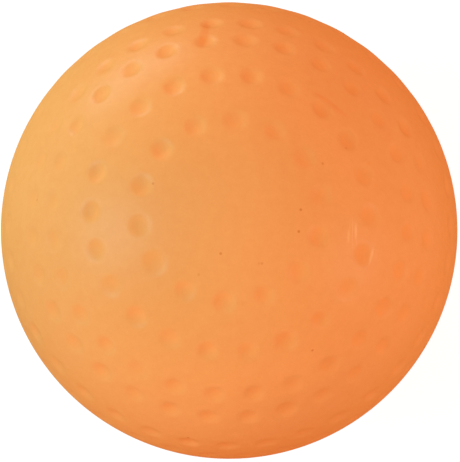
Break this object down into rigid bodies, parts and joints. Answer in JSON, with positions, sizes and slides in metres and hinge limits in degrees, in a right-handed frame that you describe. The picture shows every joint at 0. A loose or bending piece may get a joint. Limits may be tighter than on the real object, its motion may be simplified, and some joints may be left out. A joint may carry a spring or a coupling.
{
  "type": "street hockey ball",
  "caption": "Hollow orange PVC ball with rings of shallow dimples, moulded as two tongued half shells welded at the equator, for street and floor hockey.",
  "frame": {"origin": "centre of the ball", "axes": "+Z along the moulding axis to the front pole, the bare pad that faces the camera in the picture; the halves part in the XY plane; +Y is up and +X is right in the picture"},
  "size_m": [0.072, 0.072, 0.072],
  "materials": {
    "shell": "satin",
    "weld": "satin",
    "plug": "satin"
  },
  "bodies": {
    "root": {"front_half_shell": "shell", "rear_half_shell": "shell", "seam_weld": "weld", "vent_plug": "plug"}
  },
  "joints": []
}
